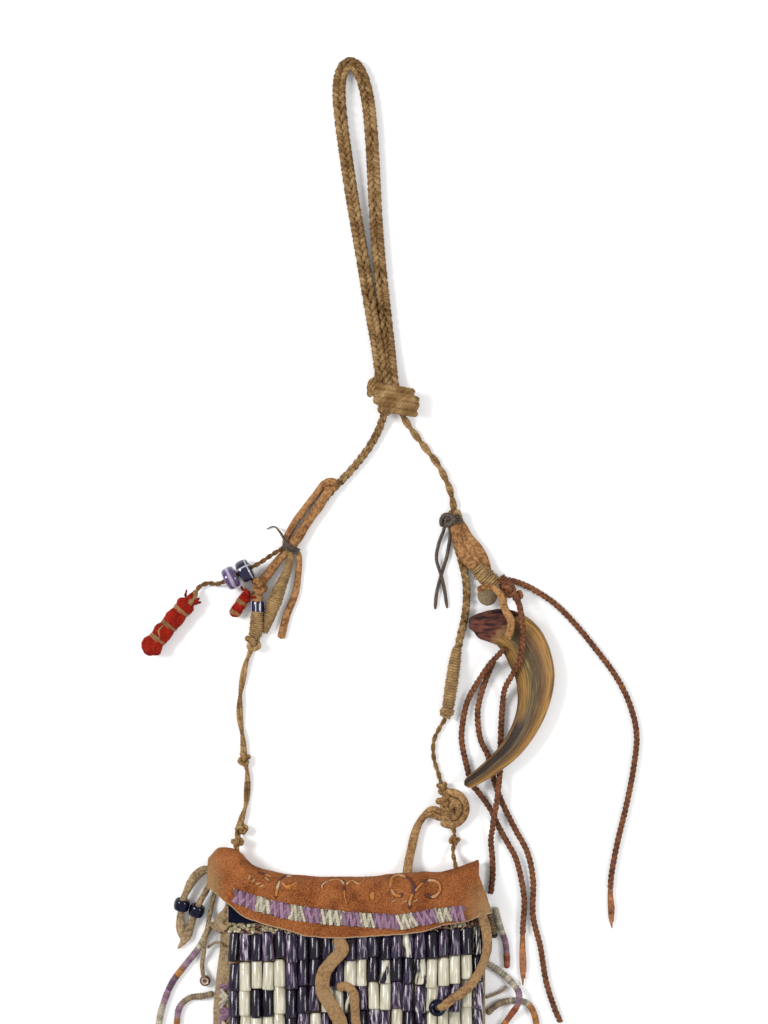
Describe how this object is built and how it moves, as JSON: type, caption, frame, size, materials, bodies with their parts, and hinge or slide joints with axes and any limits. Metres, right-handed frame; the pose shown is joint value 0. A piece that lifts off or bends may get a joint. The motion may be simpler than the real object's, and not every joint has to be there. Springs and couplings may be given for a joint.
{
  "type": "beaded medicine bag",
  "caption": "Flat buckskin pouch faced with tubular shell beads, rolled suede flap with a quill band, hung on a braided cord with thongs, glass beads, wool bundles and a claw",
  "frame": {"origin": "middle of the pouch's flat back, on the surface that the bag lies on", "axes": "+X across the pouch, +Y up the pouch towards the hanging loop, +Z out of the beaded front"},
  "size_m": [0.1709, 0.3936, 0.0164],
  "materials": {
    "buckskin": "grey-tan brain-tanned buckskin, napped, matte",
    "smoked_suede": "smoked red-brown suede, matte",
    "navy_wool": "navy fulled wool, matte",
    "shell": "polished purple and white shell, glossy",
    "seed_beads": "small ivory and dark red beads, glossy",
    "quill": "dyed porcupine quill, satin",
    "tan_thong": "tan thong, matte",
    "navy_glass": "opaque navy glass, glossy",
    "lavender_glass": "opaque striped lavender glass, glossy",
    "dark_red_glass": "opaque ringed dark red glass, glossy",
    "plant_fibre": "braided and twisted plant fibre, matte",
    "dark_sinew": "dark dried sinew, satin",
    "cream_thread": "wound cream thread, matte",
    "red_wool": "red wool cloth, matte",
    "red_brown_leather": "braided red-brown leather, matte",
    "claw_horn": "bear claw horn, golden brown, satin"
  },
  "bodies": {
    "root": {"back_panel": "buckskin", "front_panel": "buckskin", "flap": "smoked_suede", "flap_lining": "navy_wool", "bead_row_01": "shell", "bead_row_02": "shell", "bead_row_03": "shell", "bead_row_04": "shell", "bead_row_05": "shell", "bead_row_06": "shell", "bead_row_07": "shell", "bead_row_08": "shell", "bead_row_09": "shell", "bead_row_10": "shell", "edge_beading": "seed_beads", "quill_band": "quill", "fringe_left_upper": "quill", "fringe_left_lower": "quill", "fringe_right_upper": "quill", "fringe_right_middle": "quill", "fringe_right_lower": "quill", "flap_tie": "tan_thong", "front_tie": "tan_thong", "side_tie": "tan_thong", "left_tie": "tan_thong", "bead_strip": "tan_thong", "left_hitch": "tan_thong", "thong_tail": "tan_thong", "knotted_thong": "tan_thong", "right_thong": "tan_thong", "thong_knot": "tan_thong", "curled_thong": "tan_thong", "left_tie_bead_outer": "navy_glass", "left_tie_bead_inner": "navy_glass", "side_tie_bead": "navy_glass", "striped_bead": "navy_glass", "navy_bead": "navy_glass", "lavender_bead": "lavender_glass", "ringed_bead": "dark_red_glass", "hanging_loop": "plant_fibre", "left_cord_upper": "plant_fibre", "left_cord_lower": "plant_fibre", "pendant_cord": "plant_fibre", "right_cord_upper": "plant_fibre", "right_cord_middle": "plant_fibre", "right_cord_lower": "plant_fibre", "sinew_tie": "dark_sinew", "dark_thong": "dark_sinew", "side_tube": "cream_thread", "wrapped_bundle": "cream_thread", "left_whipping": "cream_thread", "right_whipping": "cream_thread", "whipped_stick": "cream_thread", "small_red_bundle": "red_wool", "long_red_bundle": "red_wool", "braid_1": "red_brown_leather", "braid_2": "red_brown_leather", "braid_3": "red_brown_leather", "braid_4": "red_brown_leather", "claw": "claw_horn"}
  },
  "joints": []
}
